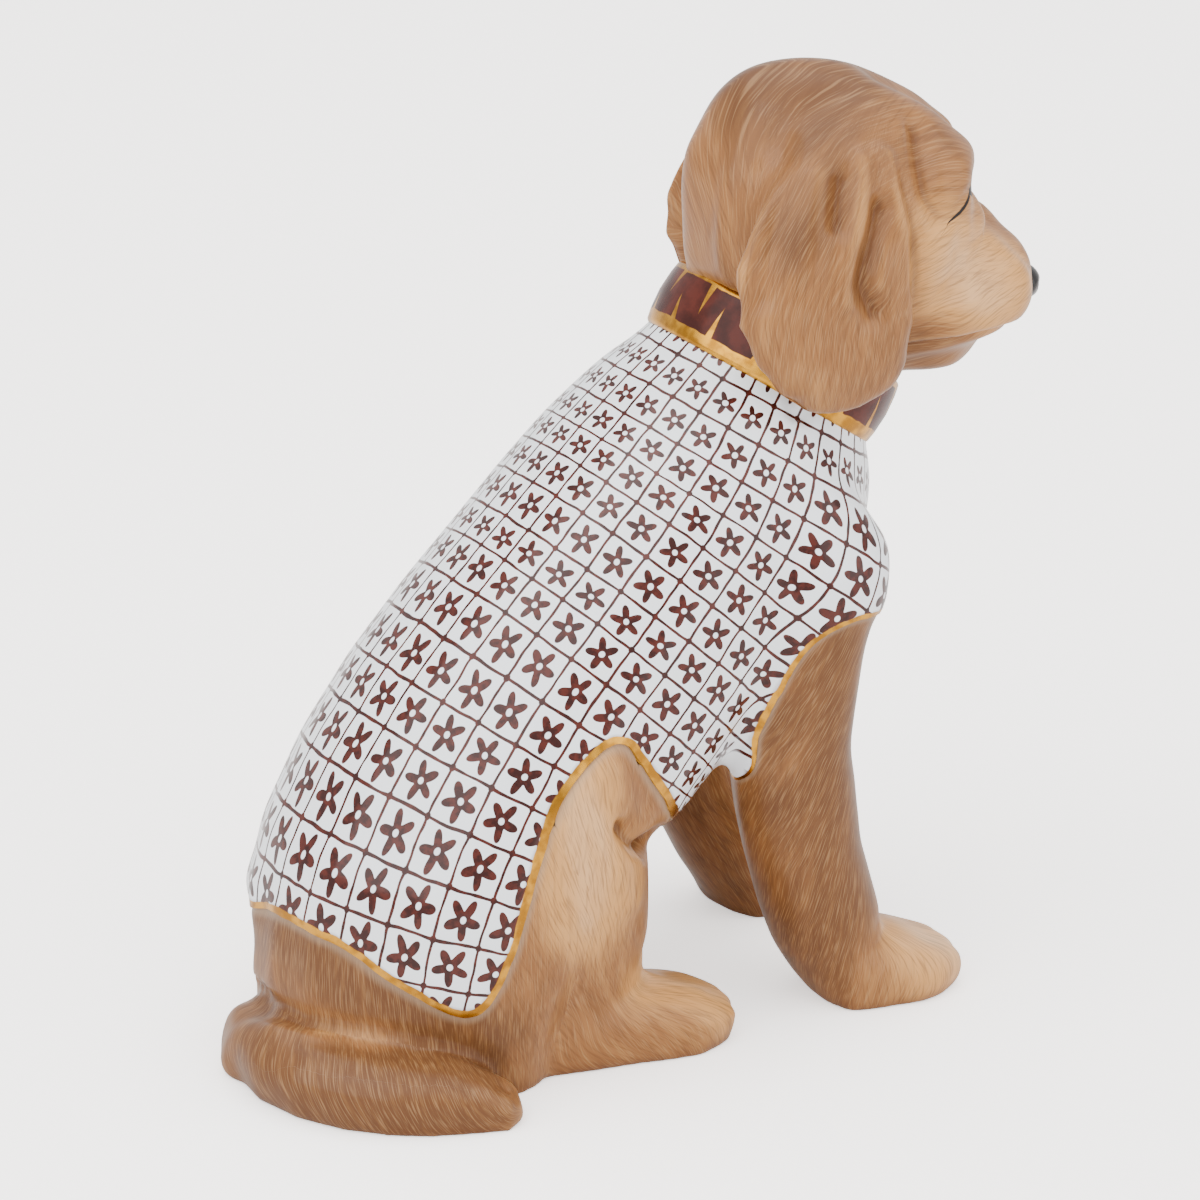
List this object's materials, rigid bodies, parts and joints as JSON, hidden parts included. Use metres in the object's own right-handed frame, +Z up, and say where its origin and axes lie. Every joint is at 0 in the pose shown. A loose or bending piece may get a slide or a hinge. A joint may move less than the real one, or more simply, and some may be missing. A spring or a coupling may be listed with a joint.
{
  "type": "porcelain dog figurine",
  "caption": "Glazed porcelain figurine of a sitting puppy in a sleeveless coat and collar, hollow cast, with a flat base to stand on a shelf.",
  "frame": {"origin": "on the resting plane, under the rump", "axes": "+Z up, -Y the way the puppy faces, +X the puppy's left"},
  "size_m": [0.0496, 0.0998, 0.1055],
  "materials": {
    "coat_glaze": "gloss",
    "fur_glaze": "gloss",
    "collar_glaze": "gloss",
    "nose_glaze": "gloss"
  },
  "bodies": {
    "root": {"torso": "coat_glaze", "collar": "collar_glaze", "nose": "nose_glaze", "rump": "fur_glaze", "head": "fur_glaze", "ear_left": "fur_glaze", "ear_right": "fur_glaze", "foreleg_left": "fur_glaze", "foreleg_right": "fur_glaze", "hind_leg_left": "fur_glaze", "hind_leg_right": "fur_glaze", "tail": "fur_glaze"}
  },
  "joints": []
}
